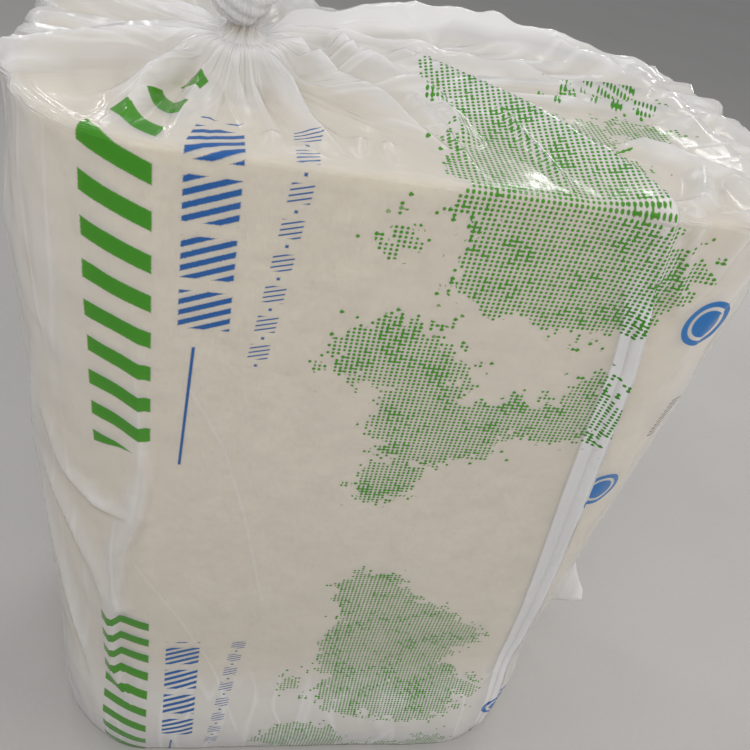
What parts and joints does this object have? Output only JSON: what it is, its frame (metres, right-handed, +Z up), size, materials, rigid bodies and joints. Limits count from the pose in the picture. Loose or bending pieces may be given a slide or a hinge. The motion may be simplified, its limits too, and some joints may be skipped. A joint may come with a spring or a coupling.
{
  "type": "insulation roll",
  "caption": "Upright roll of glass wool blanket, pressed flat-sided, in a loose translucent printed film bag whose mouth is gathered and knotted.",
  "frame": {"origin": "on the floor, under the middle of the bag's bounding box", "axes": "+Z up along the roll's axis, -Y out of the printed front, +X to the right as seen from the front"},
  "size_m": [0.9151, 0.5232, 1.39],
  "materials": {
    "glass_wool": "matt pale yellow glass fibre, softly matted",
    "bag_film": "thin milky polyethylene film, glossy, printed in green and blue"
  },
  "bodies": {
    "root": {"wool_roll": "glass_wool", "film_bag": "bag_film"}
  },
  "joints": []
}
